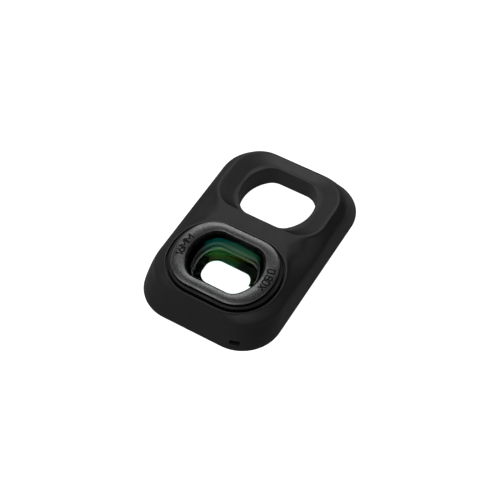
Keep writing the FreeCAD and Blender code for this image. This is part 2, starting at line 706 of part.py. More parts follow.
def hood_ring():
    """Black funnel inside the bezel that holds the front glass down."""
    body = new_body("hood_blank", LENS)
    blank = new_sketch(body, "hood_outline", COLLAR_TOP)
    cut_circle(blank, HOOD)
    top = BEZEL_TOP - S["hood_drop"]
    pad(body, blank, "hood_band", top - COLLAR_TOP)
    through = new_sketch(body, "sight_outline", top)
    cut_circle(through, SIGHT)
    pocket(body, through, "sight", top - COLLAR_TOP)
    mouth = new_sketch(body, "funnel_mouth", top)
    cut_circle(mouth, grown(HOOD, -S["hood_wall"]))
    throat = new_sketch(body, "funnel_throat", COLLAR_TOP + S["hood_step"])
    cut_circle(throat, SIGHT)
    before = body.Shape.Volume
    funnel = feature(body, "SubtractiveLoft", "funnel", Profile=mouth, Sections=[throat], Ruled=True)
    removed(body, funnel, before)
    dome = ball("hood_relief", S["front_curve"], FRONT[0] + S["relief_gap"], COLLAR_TOP)
    return combined("Cut", "hood_ring", body, dome)


def ground_glass(name, outline, foot, height, front_curve, back_curve):
    """A flat-sided blank ground by one sphere in front and hollowed by another behind."""
    body = new_body(f"{name}_blank", LENS)
    sketch = new_sketch(body, f"{name}_outline", foot)
    cut_circle(sketch, outline)
    pad(body, sketch, f"{name}_block", height + outline[0])
    dome = ball(f"{name}_dome", front_curve, outline[0], foot + height)
    domed = combined("Common", f"{name}_domed", body, dome)
    hollow = ball(f"{name}_hollow", back_curve, NARROW[0], foot)
    return combined("Cut", name, domed, hollow)


def front_element():
    """Negative meniscus: gently domed in front, deeply hollow behind."""
    return ground_glass("front_element", FRONT, SPACER_TOP, S["front_edge"], S["front_curve"],
                        S["hollow_curve"])


def rear_element():
    """Positive meniscus that brings the rays back to parallel."""
    return ground_glass("rear_element", REAR, REAR_SEAT, S["rear_rim"], S["rear_front_curve"],
                        S["rear_back_curve"])


def spacer_ring():
    """Ring that sets the two glasses apart, its bore stepped against stray light."""
    body = ring("spacer_blank", FRONT, NARROW, SPACER_FOOT, S["spacer_height"])
    wide = new_sketch(body, "wide_outline", SPACER_TOP)
    cut_circle(wide, WIDE)
    pocket(body, wide, "wide_step", S["spacer_step"])
    dome = ball("spacer_relief", S["rear_front_curve"], REAR[0] + S["relief_gap"], SPACER_FOOT)
    return combined("Cut", "spacer_ring", body, dome)


def field_mask():
    """Thin black sheet behind the barrel with the picture-shaped opening."""
    body = new_body("field_mask", LENS)
    sheet_outline = new_sketch(body, "mask_outline", COVER_TOP)
    cut_circle(sheet_outline, MASK)
    half_height = S["mask_height"] * 0.5
    round_box(sheet_outline, S["mask_width"] * 0.5, -half_height, half_height,
              S["mask_corner"], S["mask_corner"])
    pad(body, sheet_outline, "mask_sheet", S["mask_thick"])
    return body


def magnet(name, across, along):
    piece = doc.addObject("Part::Box", name)
    piece.Label = name
    piece.setExpression("Length", S["magnet_length"].text)
    piece.setExpression("Width", S["magnet_width"].text)
    piece.setExpression("Height", S["magnet_height"].text)
    piece.setExpression(".Placement.Base.x", (across - S["magnet_length"] * 0.5).text)
    piece.setExpression(".Placement.Base.y", (along - S["magnet_width"] * 0.5).text)
    piece.setExpression(".Placement.Base.z", COVER_TOP.text)
    return piece


pieces = [main_shell(), back_cover(), lens_pad(), lens_barrel(), lens_bezel(), hood_ring(),
          front_element(), spacer_ring(), rear_element(), field_mask()]
pieces += [magnet(f"magnet_{corner}", across, along) for corner, across, along in MAGNET_PLACES]
doc.recompute()

for item in doc.Objects:
    faults = [state for state in item.State if state in ("Invalid", "Error")]
    if faults:
        raise RuntimeError(f"{item.Name}: {faults}")
os.makedirs("parts", exist_ok=True)
for piece in pieces:
    shape = piece.Shape
    if shape.isNull() or not shape.isValid() or len(shape.Solids) != 1:
        raise RuntimeError(f"{piece.Label} is not one sound solid")
for piece in pieces:
    piece.Shape.exportStep(f"parts/{piece.Label}.step")
    box = piece.Shape.BoundBox
    print(f"{piece.Label}: volume {piece.Shape.Volume:.2f}, z {box.ZMin:.2f} to {box.ZMax:.2f},"
          f" x {box.XMin:.2f} to {box.XMax:.2f}, y {box.YMin:.2f} to {box.YMax:.2f}")
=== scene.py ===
from math import atan2, cos, hypot, pi, radians, sin, sqrt

import bmesh
import bpy
import numpy as np
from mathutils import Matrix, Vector
from mathutils.geometry import delaunay_2d_cdt


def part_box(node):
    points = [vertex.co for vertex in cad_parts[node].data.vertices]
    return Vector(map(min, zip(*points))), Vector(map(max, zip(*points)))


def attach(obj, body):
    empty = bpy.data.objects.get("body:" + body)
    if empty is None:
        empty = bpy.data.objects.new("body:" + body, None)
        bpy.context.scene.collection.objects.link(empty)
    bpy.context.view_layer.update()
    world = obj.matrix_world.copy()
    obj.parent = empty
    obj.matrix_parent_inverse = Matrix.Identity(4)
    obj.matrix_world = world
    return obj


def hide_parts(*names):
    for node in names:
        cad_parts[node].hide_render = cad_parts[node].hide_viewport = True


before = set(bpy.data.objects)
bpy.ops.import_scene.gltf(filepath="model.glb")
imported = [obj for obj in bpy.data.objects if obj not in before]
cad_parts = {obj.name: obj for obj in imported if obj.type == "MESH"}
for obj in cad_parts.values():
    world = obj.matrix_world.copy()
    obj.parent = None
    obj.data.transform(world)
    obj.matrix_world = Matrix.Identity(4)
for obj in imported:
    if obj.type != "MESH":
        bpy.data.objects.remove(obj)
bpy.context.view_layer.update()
MM = 0.001
BODY = "root"


def extent(node, axis):
    """Lowest and highest place of a node along an axis, in millimetres."""
    low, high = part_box(node)
    return low[axis] / MM, high[axis] / MM


def middle(node):
    """Middle of a node along the plate, in millimetres."""
    low, high = extent(node, 1)
    return (low + high) / 2


def plan_of(node, corner):
    """Round size, axis-to-flat size and corner of a cut circle, from the box of its node."""
    across, along = extent(node, 0), extent(node, 1)
    return ((across[1] - across[0]) / 2, (along[1] - along[0]) / 2, corner)


def grown(plan, by):
    """A plan moved outwards by a distance, inwards if it is negative."""
    return tuple(size + by for size in plan)


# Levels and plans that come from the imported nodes, with the corners that a box can't give.
LENS_Y = middle("lens_bezel")
HALF_WIDTH = extent("main_shell", 0)[1]
HALF_LENGTH = extent("main_shell", 1)[1]
TOP = extent("main_shell", 2)[1]
COLLAR_TOP = extent("lens_barrel", 2)[1]
BARREL_FOOT = extent("lens_barrel", 2)[0]
BEZEL_TOP = extent("lens_bezel", 2)[1]
HOOD_TOP = extent("hood_ring", 2)[1]
COVER_TOP = extent("back_cover", 2)[1]

BEZEL = plan_of("lens_bezel", 6.33)
COLLAR = plan_of("lens_barrel", 8.0)
HOOD = plan_of("hood_ring", 3.12)
MOUTH = grown(HOOD, 0.08)
FRONT = plan_of("front_element", 3.0)
SIGHT = (FRONT[0] - 0.25, FRONT[1] - 0.25, 2.8)
WIDE = (FRONT[0] - 1.2, FRONT[1] - 1.2, 2.4)
NARROW = (FRONT[0] - 1.65, FRONT[1] - 1.65, 2.4)
REAR = (FRONT[0] - 1.15, FRONT[1] - 1.15, 2.4)
BARREL = (FRONT[0] + 1.55, FRONT[1] + 1.4, 4.0)
GROOVE = grown(COLLAR, 0.4)
PAD = plan_of("lens_pad", 4.4)
PAD_WIDTH = 1.9

# The moulding, as it narrows from the foot to the waisted top.
FOOT_LEVEL, LOW_LEVEL, HIGH_LEVEL = 0.35, 2.6, 4.8
FOOT_INSET = 0.25
LOW_INSETS = (0.3, 1.4)
HIGH_INSETS = (0.95, 2.67)
WALL_CORNER = 8.4
CREST_BEVEL = 0.2
LAND = 0.3
SADDLE = 5.4
GROOVE_DEPTH = 0.9
BORE_PLAY = 0.1
WINDOW_Y = 10.41
WINDOW = (7.9, 6.66, 3.3)
WINDOW_LIP = 0.2
DISH_HALF = WINDOW[0] + 4.2
DISH_NEAR = WINDOW_Y - WINDOW[1] - 0.75
DISH_FAR = WINDOW_Y + WINDOW[1] + 2.28
DISH_CORNERS = (5.0, 6.45)
DISH_DEPTH = 1.0
DISH_FLOOR = 0.3
RIM_WALL = 1.1
NOTCH_SIDE, NOTCH_WIDTH, NOTCH_HEIGHT = 6.0, 2.0, 0.65
NOTCH_LEVEL, NOTCH_REACH = 1.35, 2.3
HOUSING_CREASE = 40

# The brow, where the wall rolls over to the flat top: it is wider and lower where there is room.
BROW_SPREAD, BROW_FALL, BROW_LEAN = 0.75, 0.42, 0.8
BROW_LEAST, BROW_CLEAR, BROW_SLACK = 0.12, 0.03, 0.02
# The last value is how strong the painted highlight along the brow's middle is.
BROW_GLINT = 0.3
SOFTENING_PASSES = 60
WALL_STEPS, BROW_STEPS = 35, 8
GROOVE_LIP, GROOVE_STRIP = 0.12, 0.03

# The bezel's blasted face falls away a little to its outer edge, and the filled marks stand just
# clear of it. Each mark is a text and the direction of its middle, in degrees.
FACE_FALL = 0.06
MARK_RISE = 0.012
MARK_HEIGHT, MARK_FOOT, MARK_GAP, MARK_STROKE = 1.44, 8.56, 0.2, 0.3
MARKS = (("16MM", 183.0), ("0.80X", 3.0))

# The two glasses and the ring between them.
FRONT_EDGE, FRONT_CURVE, HOLLOW_CURVE = 2.3, 38.0, 32.0
SPACER_TOP = COLLAR_TOP - FRONT_EDGE
SPACER_FOOT = SPACER_TOP - 1.7
REAR_EDGE = 1.0
REAR_SEAT = SPACER_FOOT - REAR_EDGE
REAR_FRONT_CURVE, REAR_BACK_CURVE = 32.0, 60.0

# The camera that the photograph was taken with.
CAMERA_AZIMUTH = radians(30.39)
CAMERA_ELEVATION = radians(53.88)
CAMERA_DISTANCE = 265.2
CAMERA_TARGET = Vector((-0.19, -0.52, 0.0))
CAMERA_FOCAL = 93.6

# Softboxes: place, width, height and brightness beside the white of the table.
SOFTBOXES = {
    "overhead_box": ((-45, -75, 252), 260, 200, 0.56),
    "back_box": ((-66, 127, 139), 110, 55, 0.95),
    "left_strip": ((-240, 60, 60), 220, 80, 0.14),
    "front_box": ((-60, -160, 200), 200, 150, 0.45),
    "right_box": ((180, 40, 160), 150, 150, 0.06),
}
TABLE_GLOW, TABLE_WHITE = 0.06, 1.1
TABLE_HALF = 3000
TABLE_DROP = 0.02
ROOM_GLOW = 0.02


def arc(centre, radius, first, last, count):
    """Points of an arc, the last one left out."""
    turns = np.linspace(first, last, count, endpoint=False)
    return np.c_[centre[0] + radius * np.cos(turns), centre[1] + radius * np.sin(turns)]


def run(start, end, count):
    """Points of a straight line, the last one left out."""
    shares = np.linspace(0, 1, count, endpoint=False)[:, None]
    return np.asarray(start) + (np.asarray(end) - np.asarray(start)) * shares


ROUND_STEPS, CORNER_STEPS, FLAT_STEPS = 72, 20, 28


def cut_circle(plan, place=LENS_Y):
    """Outline of a circle cut by two flats, its corners rounded, counter-clockwise from the right."""
    radius, flat, corner = plan
    rise = flat - corner
    side = sqrt((radius - corner) ** 2 - rise ** 2)
    turn = atan2(rise, side)
    parts = [
        arc((0, place), radius, -turn, turn, ROUND_STEPS),
        arc((side, place + rise), corner, turn, pi / 2, CORNER_STEPS),
        run((side, place + flat), (-side, place + flat), FLAT_STEPS),
        arc((-side, place + rise), corner, pi / 2, pi - turn, CORNER_STEPS),
        arc((0, place), radius, pi - turn, pi + turn, ROUND_STEPS),
        arc((-side, place - rise), corner, pi + turn, 3 * pi / 2, CORNER_STEPS),
        run((-side, place - flat), (side, place - flat), FLAT_STEPS),
        arc((side, place - rise), corner, 3 * pi / 2, 2 * pi - turn, CORNER_STEPS),
    ]
    return np.vstack(parts)


def round_box(half, near, far, near_corner, far_corner, steps=CORNER_STEPS):
    """Outline of a rectangle on the centre line with rounded corners."""
    parts = [
        run((near_corner - half, near), (half - near_corner, near), steps),
        arc((half - near_corner, near + near_corner), near_corner, -pi / 2, 0, steps),
        run((half, near + near_corner), (half, far - far_corner), steps),
        arc((half - far_corner, far - far_corner), far_corner, 0, pi / 2, steps),
        run((half - far_corner, far), (far_corner - half, far), steps),
        arc((far_corner - half, far - far_corner), far_corner, pi / 2, pi, steps),
        run((-half, far - far_corner), (-half, near + near_corner), steps),
        arc((near_corner - half, near + near_corner), near_corner, pi, 3 * pi / 2, steps),
    ]
    return np.vstack(parts)


# Steps along half of the top outline: near line, corner, lens arc, waist, bend, side, far corner
# and far line.
TOP_STEPS = (14, 24, 56, 36, 22, 18, 26, 14)


def mirrored(half_outline):
    """The whole outline from its right half, which starts and ends on the centre line."""
    left = half_outline[1:][::-1] * (-1, 1)
    return np.vstack([half_outline, left])


def top_outline(land):
    """The waisted outline of the top, a land away from the groove and the dish.

    Returns the whole outline and the parts of its right half.
    """
    bend_y, bend_x = DISH_NEAR + DISH_CORNERS[0], DISH_HALF - DISH_CORNERS[0]
    from_lens, from_bend = GROOVE[0] + SADDLE, DISH_CORNERS[0] + SADDLE
    span = hypot(bend_x, bend_y - LENS_Y)
    axis = np.array((bend_x, bend_y - LENS_Y)) / span
    step = (from_lens ** 2 - from_bend ** 2 + span ** 2) / (2 * span)
    out = sqrt(from_lens ** 2 - step ** 2)
    waist = np.array((0, LENS_Y)) + axis * step + np.array((axis[1], -axis[0])) * out
    to_lens = atan2(LENS_Y - waist[1], -waist[0])
    to_bend = atan2(bend_y - waist[1], bend_x - waist[0])
    radius, flat, corner = grown(GROOVE, land)
    drop = flat - corner
    side = sqrt((radius - corner) ** 2 - drop ** 2)
    turn = atan2(drop, side)
    half, far, bow = DISH_HALF + land, DISH_FAR + land, DISH_CORNERS[1] + land
    saddle, bend = SADDLE - land, DISH_CORNERS[0] + land
    parts = [
        run((0, LENS_Y - flat), (side, LENS_Y - flat), TOP_STEPS[0]),
        arc((side, LENS_Y - drop), corner, -pi / 2, -turn, TOP_STEPS[1]),
        arc((0, LENS_Y), radius, -turn, to_lens + pi, TOP_STEPS[2]),
        arc(waist, saddle, to_lens + 2 * pi, to_bend, TOP_STEPS[3]),
        arc((bend_x, bend_y), bend, to_bend - pi, 0, TOP_STEPS[4]),
        run((half, bend_y), (half, far - bow), TOP_STEPS[5]),
        arc((half - bow, far - bow), bow, 0, pi / 2, TOP_STEPS[6]),
        run((half - bow, far), (0, far), TOP_STEPS[7]),
        np.array([[0.0, far]]),
    ]
    return mirrored(np.vstack(parts)), parts


def wall_section(side_inset, end_inset, corner=WALL_CORNER):
    """A rounded rectangle with its points where those of the top outline lie along the plate."""
    half, end = HALF_WIDTH - side_inset, HALF_LENGTH - end_inset
    _, parts = top_outline(LAND)
    breaks = [corner - end] + [part[0][1] for part in parts[3:6]] + [end - corner]
    counts = TOP_STEPS[2:6]
    section = [
        run((0, -end), (half - corner, -end), TOP_STEPS[0]),
        arc((half - corner, corner - end), corner, -pi / 2, 0, TOP_STEPS[1]),
        *[run((half, low), (half, high), count) for low, high, count in zip(breaks, breaks[1:], counts)],
        arc((half - corner, end - corner), corner, 0, pi / 2, TOP_STEPS[6]),
        run((half - corner, end), (0, end), TOP_STEPS[7]),
        np.array([[0.0, end]]),
    ]
    return mirrored(np.vstack(section))


class Wall:
    """A smooth wall through outlines at known levels, with no overshoot between them."""

    def __init__(self, levels, outlines):
        self.levels = np.asarray(levels)
        self.outlines = np.asarray(outlines)
        steep = np.diff(self.outlines, axis=0) / np.diff(self.levels)[:, None, None]
        one, other = steep[:-1], steep[1:]
        agree = one * other > 0
        mean = np.where(agree, 2 * one * other / np.where(agree, one + other, 1.0), 0.0)
        # The foot stands a little steeper than its first span, and the top carries the last one on.
        self.slopes = np.concatenate([steep[:1] * 0.6, mean, 1.5 * steep[-1:] - 0.5 * mean[-1:]])

    def at(self, heights):
        """Place of each point at its own height."""
        below = np.clip(np.searchsorted(self.levels, heights, side="right") - 1, 0, len(self.levels) - 2)
        columns = np.arange(len(heights))
        width = (self.levels[below + 1] - self.levels[below])[:, None]
        share = (heights - self.levels[below])[:, None] / width
        start, end = self.outlines[below, columns], self.outlines[below + 1, columns]
        first, last = self.slopes[below, columns] * width, self.slopes[below + 1, columns] * width
        bent = share * share * (3 - 2 * share)
        return (start + (end - start) * bent + first * share * (1 - share) ** 2
                - last * share ** 2 * (1 - share))


def nearest(points, *outlines):
    """Distance from each point to the nearest place on some closed outlines."""
    found = []
    for outline in outlines:
        along = np.roll(outline, -1, axis=0) - outline
        offset = points[:, None] - outline[None]
        share = np.clip((offset * along).sum(axis=2) / (along ** 2).sum(axis=1), 0, 1)
        found.append(np.linalg.norm(offset - along * share[..., None], axis=2).min(axis=1))
    return np.min(found, axis=0)


def softened(values):
    """Numbers round a closed outline with their sudden changes evened out."""
    for _ in range(SOFTENING_PASSES):
        values = (np.roll(values, 1) + values + np.roll(values, -1)) / 3
    return values


def inward(outline):
    """Directions square to a counter-clockwise outline, to its inside."""
    along = np.roll(outline, -1, axis=0) - np.roll(outline, 1, axis=0)
    along /= np.linalg.norm(along, axis=1)[:, None]
    return np.c_[-along[:, 1], along[:, 0]]


class Surface:
    """Gathers rings of points in millimetres, joins them by faces and makes one closed mesh."""

    def __init__(self):
        self.mesh = bmesh.new()
        # Each vertex keeps, as its edge attribute, how much painted highlight it gets.
        self.edge = self.mesh.verts.layers.float.new("edge")

    def ring(self, outline, level, glint=0.0):
        """A ring of vertices. level is one height or one for each point; the last value is how much
        painted highlight the edge gets.
        """
        levels = np.broadcast_to(level, len(outline))
        made = []
        for (x, y), z in zip(outline, levels):
            vert = self.mesh.verts.new((x * MM, y * MM, z * MM))
            vert[self.edge] = glint
            made.append(vert)
        return made

    def join(self, rings, closed=False, surface=0):
        """Quads between rings of equal length. closed joins the last ring to the first."""
        pairs = list(zip(rings, rings[1:]))
        if closed:
            pairs.append((rings[-1], rings[0]))
        for one, other in pairs:
            for at in range(len(one)):
                after = (at + 1) % len(one)
                face = self.mesh.faces.new((one[at], one[after], other[after], other[at]))
                face.material_index = surface
                face.smooth = True
        return rings

    def flat(self, level, outer, *holes):
        """Triangles of a level area inside one outline and outside others."""
        outlines = [np.asarray(outer)] + [np.asarray(hole) for hole in holes]
        points = np.vstack(outlines)
        starts = np.cumsum([0] + [len(outline) for outline in outlines])
        edges = [(start + at, start + (at + 1) % len(outline))
                 for start, outline in zip(starts, outlines) for at in range(len(outline))]
        found = delaunay_2d_cdt([Vector(point) for point in points], edges, [], 0, 1e-6)
        verts = [self.mesh.verts.new((x * MM, y * MM, level * MM)) for x, y in found[0]]
        for triangle in found[2]:
            centre = np.mean([found[0][index] for index in triangle], axis=0)
            if inside(centre, outlines[0]) and not any(inside(centre, hole) for hole in outlines[1:]):
                self.mesh.faces.new([verts[index] for index in triangle])

    def disc(self, rings, centre):
        """Joins rings and closes the last one on a centre point."""
        self.join(rings)
        tip = self.mesh.verts.new((centre[0] * MM, centre[1] * MM, centre[2] * MM))
        last = rings[-1]
        for at in range(len(last)):
            face = self.mesh.faces.new((last[at], last[(at + 1) % len(last)], tip))
            face.smooth = True

    def made(self, name, materials, crease=35):
        """The finished object: doubles merged, faces outwards, smooth but for creases."""
        clean(self.mesh)
        data = bpy.data.meshes.new(name)
        self.mesh.to_mesh(data)
        self.mesh.free()
        data.set_sharp_from_angle(angle=radians(crease))
        for material in materials:
            data.materials.append(material)
        return placed(name, data)


def clean(mesh):
    """Merges doubled points and turns the faces outwards."""
    bmesh.ops.remove_doubles(mesh, verts=mesh.verts, dist=1e-4 * MM)
    bmesh.ops.recalc_face_normals(mesh, faces=mesh.faces)


def placed(name, data):
    """A new object in the scene."""
    made = bpy.data.objects.new(name, data)
    bpy.context.scene.collection.objects.link(made)
    return made


def inside(point, outline):
    """Whether a point lies inside an outline, by counting crossings."""
    x, y = point[0], point[1]
    xs, ys = outline[:, 0], outline[:, 1]
    xe, ye = np.roll(xs, -1), np.roll(ys, -1)
    spans = (ys > y) != (ye > y)
    heights = np.where(spans, ye - ys, 1.0)
    return bool(np.count_nonzero(spans & (x < xs + (y - ys) * (xe - xs) / heights)) % 2)


def quarter(steps=5):
    """Shares of a rounding: how far in and how far down, from the upper face to the wall."""
    turns = np.linspace(0, pi / 2, steps + 1)
    return [(sin(turn), 1 - cos(turn)) for turn in turns]


def wear_piece(piece, slot, *nodes):
    """Puts a finished piece on its body, in place of its node if it has one."""
    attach(piece, BODY)
    if nodes:
        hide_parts(*nodes)
    return piece


def value_socket(group, name, kind, default=None, output=False):
    """A named socket on a node group."""
    side = "OUTPUT" if output else "INPUT"
    made = group.interface.new_socket(name=name, in_out=side, socket_type=kind)
    if default is not None:
        made.default_value = default


def fine_grain():
    """Group: the texture of a moulded or blasted face, as bump height, speckle and broad mottle."""
    group = bpy.data.node_groups.new("fine_grain", "ShaderNodeTree")
    value_socket(group, "Grain size", "NodeSocketFloat", 0.00015)
    value_socket(group, "Mottle size", "NodeSocketFloat", 0.004)
    for result in ("Height", "Speckle", "Mottle"):
        value_socket(group, result, "NodeSocketFloat", output=True)
    nodes, links = group.nodes, group.links
    given, taken = nodes.new("NodeGroupInput"), nodes.new("NodeGroupOutput")
    place = nodes.new("ShaderNodeTexCoord")
    for size, result, detail in (("Grain size", "Height", 3.0), ("Mottle size", "Mottle", 2.0)):
        scale = nodes.new("ShaderNodeMath")
        scale.operation = "DIVIDE"
        scale.inputs[0].default_value = 1.0
        noise = nodes.new("ShaderNodeTexNoise")
        noise.inputs["Detail"].default_value = detail
        links.new(given.outputs[size], scale.inputs[1])
        links.new(scale.outputs[0], noise.inputs["Scale"])
        links.new(place.outputs["Object"], noise.inputs["Vector"])
        links.new(noise.outputs["Fac"], taken.inputs[result])
        if result == "Height":
            sharper = nodes.new("ShaderNodeMapRange")
            sharper.inputs["From Min"].default_value = 0.36
            sharper.inputs["From Max"].default_value = 0.64
            links.new(noise.outputs["Fac"], sharper.inputs["Value"])
            links.new(sharper.outputs["Result"], taken.inputs["Speckle"])
    return group


def edge_rub():
    """Group: how much painted highlight an edge gets, broken up by the mottle."""
    group = bpy.data.node_groups.new("edge_rub", "ShaderNodeTree")
    value_socket(group, "Mottle", "NodeSocketFloat", 0.5)
    value_socket(group, "Strength", "NodeSocketFloat", 1.0)
    value_socket(group, "Mask", "NodeSocketFloat", output=True)
    nodes, links = group.nodes, group.links
    given, taken = nodes.new("NodeGroupInput"), nodes.new("NodeGroupOutput")
    edge = nodes.new("ShaderNodeAttribute")
    edge.attribute_name = "edge"
    spread = nodes.new("ShaderNodeMapRange")
    spread.inputs["From Min"].default_value = 0.3
    spread.inputs["From Max"].default_value = 0.7
    spread.inputs["To Min"].default_value = 0.45
    glinting = nodes.new("ShaderNodeMath")
    glinting.operation = "MULTIPLY"
    scaled = nodes.new("ShaderNodeMath")
    scaled.operation = "MULTIPLY"
    links.new(given.outputs["Mottle"], spread.inputs["Value"])
    links.new(edge.outputs["Fac"], glinting.inputs[0])
    links.new(spread.outputs["Result"], glinting.inputs[1])
    links.new(glinting.outputs[0], scaled.inputs[0])
    links.new(given.outputs["Strength"], scaled.inputs[1])
    links.new(scaled.outputs[0], taken.inputs["Mask"])
    return group


GRAIN, GLINT = fine_grain(), edge_rub()


class Finish:
    """One material: a shader whose tone, roughness and bump come from the shared groups."""

    def __init__(self, name):
        self.material = bpy.data.materials.new(name)
        self.material.use_nodes = True
        self.nodes = self.material.node_tree.nodes
        self.links = self.material.node_tree.links
        self.shader = self.nodes["Principled BSDF"]

    def group(self, tree, **values):
        """A shared group with its inputs set."""
        node = self.nodes.new("ShaderNodeGroup")
        node.node_tree = tree
        for name, value in values.items():
            node.inputs[name.replace("_", " ")].default_value = value
        return node

    def mix(self, share, first, second):
        """A colour between two, by a share from another node."""
        node = self.nodes.new("ShaderNodeMix")
        node.data_type = "RGBA"
        self.links.new(share, node.inputs["Factor"])
        for socket, colour in ((node.inputs[6], first), (node.inputs[7], second)):
            if isinstance(colour, tuple):
                socket.default_value = (*colour, 1.0)
            else:
                self.links.new(colour, socket)
        return node.outputs[2]

    def between(self, share, low, high):
        """A number between two, by a share from another node."""
        node = self.nodes.new("ShaderNodeMapRange")
        node.inputs["To Min"].default_value = low
        node.inputs["To Max"].default_value = high
        self.links.new(share, node.inputs["Value"])
        return node.outputs["Result"]

    def bump(self, height, distance):
        """Bends the surface's normal by a height from another node."""
        node = self.nodes.new("ShaderNodeBump")
        node.inputs["Distance"].default_value = distance
        self.links.new(height, node.inputs["Height"])
        self.links.new(node.outputs["Normal"], self.shader.inputs["Normal"])


def textured(name, dark, light, rough, grain, depth, metallic=0.0, mottle=4.0, glint_strength=0.0,
             glint_tone=None, shine=0.5):
    """A finish with grain and mottle, and a painted highlight, a lighter tone on marked edges, where it
    is asked for.

    The tone varies from dark to light with the grain, and the roughness from rough[0] to rough[1]
    with the mottle. grain, depth and mottle are millimetres.
    """
    made = Finish(name)
    made.shader.inputs["Metallic"].default_value = metallic
    made.shader.inputs["Specular IOR Level"].default_value = shine
    grains = made.group(GRAIN, Grain_size=grain * MM, Mottle_size=mottle * MM)
    colour = made.mix(grains.outputs["Speckle"], dark, light)
    roughness = made.between(grains.outputs["Mottle"], *rough)
    # Painted highlight: the colour turns lighter on the edges marked for it.
    if glint_strength:
        glinting = made.group(GLINT, Strength=glint_strength)
        made.links.new(grains.outputs["Mottle"], glinting.inputs["Mottle"])
        colour = made.mix(glinting.outputs["Mask"], colour, glint_tone)
    made.links.new(colour, made.shader.inputs["Base Color"])
    made.links.new(roughness, made.shader.inputs["Roughness"])
    made.bump(grains.outputs["Height"], depth * MM)
    return made.material


def coated_glass():
    """Clear glass with a thin film that reflects green and lets red through."""
    made = Finish("coated_glass")
    settings = {
        "Base Color": (0.94, 1.0, 0.97, 1.0),
        "Transmission Weight": 1.0,
        "IOR": 1.52,
        "Specular Tint": (0.05, 0.26, 0.25, 1.0),
        "Thin Film Thickness": 494.0,
        "Thin Film IOR": 1.23,
    }
    for name, value in settings.items():
        made.shader.inputs[name].default_value = value
    grains = made.group(GRAIN, Grain_size=1.2 * MM, Mottle_size=6.0 * MM)
    roughness = made.between(grains.outputs["Mottle"], 0.0, 0.002)
    made.links.new(roughness, made.shader.inputs["Roughness"])
    return made.material


def pale_floor():
    """A white light table: evenly white to the eye, a soft grey to what stands on it."""
    made = Finish("pale_floor")
    path = made.nodes.new("ShaderNodeLightPath")
    seen = made.nodes.new("ShaderNodeMath")
    seen.operation = "MAXIMUM"
    made.links.new(path.outputs["Is Camera Ray"], seen.inputs[0])
    made.links.new(path.outputs["Is Transmission Ray"], seen.inputs[1])
    glow = made.between(seen.outputs[0], TABLE_GLOW, TABLE_WHITE)
    made.shader.inputs["Base Color"].default_value = (0.35, 0.35, 0.35, 1.0)
    made.shader.inputs["Roughness"].default_value = 0.9
    made.shader.inputs["Emission Color"].default_value = (1.0, 1.0, 1.0, 1.0)
    made.links.new(glow, made.shader.inputs["Emission Strength"])
    return made.material


# The lighter tone given to a finish's marked edges is a painted highlight.
MOULDED = textured("moulded_black", (0.010, 0.010, 0.011), (0.016, 0.016, 0.017), (0.42, 0.56),
                   grain=0.16, depth=0.012, glint_strength=0.5, glint_tone=(0.14, 0.14, 0.142))
COVER = textured("cover_black", (0.012, 0.012, 0.013), (0.018, 0.018, 0.019), (0.5, 0.62),
                 grain=0.2, depth=0.014)
RUBBER = textured("soft_rubber", (0.012, 0.012, 0.013), (0.02, 0.02, 0.021), (0.7, 0.85),
                  grain=0.1, depth=0.008)
GLOSS_BLACK = textured("black_anodised", (0.002, 0.002, 0.0025), (0.004, 0.004, 0.0045), (0.2, 0.26),
                       grain=0.1, depth=0.001, glint_strength=0.7, glint_tone=(0.06, 0.06, 0.061), shine=0.06)
BORE_BLACK = textured("bore_black", (0.01, 0.01, 0.011), (0.016, 0.016, 0.017), (0.34, 0.42),
                      grain=0.3, depth=0.0002, glint_strength=0.8, glint_tone=(0.2, 0.2, 0.2), shine=1.0)
MATT_BLACK = textured("matt_black", (0.002, 0.002, 0.002), (0.004, 0.004, 0.004), (0.5, 0.65),
                      grain=0.1, depth=0.004, shine=0.12)
MARK_BLACK = textured("mark_filling", (0.006, 0.006, 0.006), (0.012, 0.012, 0.012), (0.6, 0.8),
                      grain=0.1, depth=0.003, shine=0.1)
GREY = textured("blasted_grey", (0.07, 0.07, 0.071), (0.18, 0.18, 0.182), (0.26, 0.32),
                grain=0.2, depth=0.004, metallic=0.9, mottle=2.5, glint_strength=0.6, glint_tone=(0.7, 0.7, 0.71))
FLOCK = textured("flocked_black", (0.004, 0.004, 0.004), (0.009, 0.009, 0.009), (0.8, 0.95),
                 grain=0.12, depth=0.01)
NICKEL = textured("nickel_plate", (0.55, 0.53, 0.5), (0.63, 0.61, 0.58), (0.18, 0.3),
                  grain=0.2, depth=0.002, metallic=1.0)
GLASS = coated_glass()


def dish_fall(share, soft):
    """How far the dish has fallen at a share of its slope, with both ends rounded over a soft share."""
    if share < soft:
        fallen = share ** 2 / (2 * soft)
    elif share > 1 - soft:
        fallen = 1 - soft - (1 - share) ** 2 / (2 * soft)
    else:
        fallen = share - soft / 2
    return fallen / (1 - soft)


def dish_rings(surface):
    """The dish from its rim down to the strip round the window. Returns both outlines."""
    soft, brightest_glint, flat_edge = 0.14, 0.35, 0.01
    rim = round_box(DISH_HALF, DISH_NEAR, DISH_FAR, *DISH_CORNERS)
    half = WINDOW[0] + DISH_FLOOR
    near, far = WINDOW_Y - WINDOW[1] - DISH_FLOOR, WINDOW_Y + WINDOW[1] + DISH_FLOOR
    base = round_box(half, near, far, DISH_CORNERS[0], DISH_CORNERS[0])
    rings = [surface.ring(rim, TOP), surface.ring(rim + (base - rim) * flat_edge, TOP)]
    for share in (0.02, 0.035, 0.07, 0.105, 0.14, 0.3, 0.5, 0.7, 0.86, 0.895, 0.93, 0.965, 1):
        level = TOP - DISH_DEPTH * dish_fall(share, soft)
        # Painted highlight along the top of the dish's slope, fading down it.
        glint = brightest_glint * max(0.0, 1 - share / soft)
        rings.append(surface.ring(rim + (base - rim) * share, level, glint))
    surface.join(rings)
    return rim, base


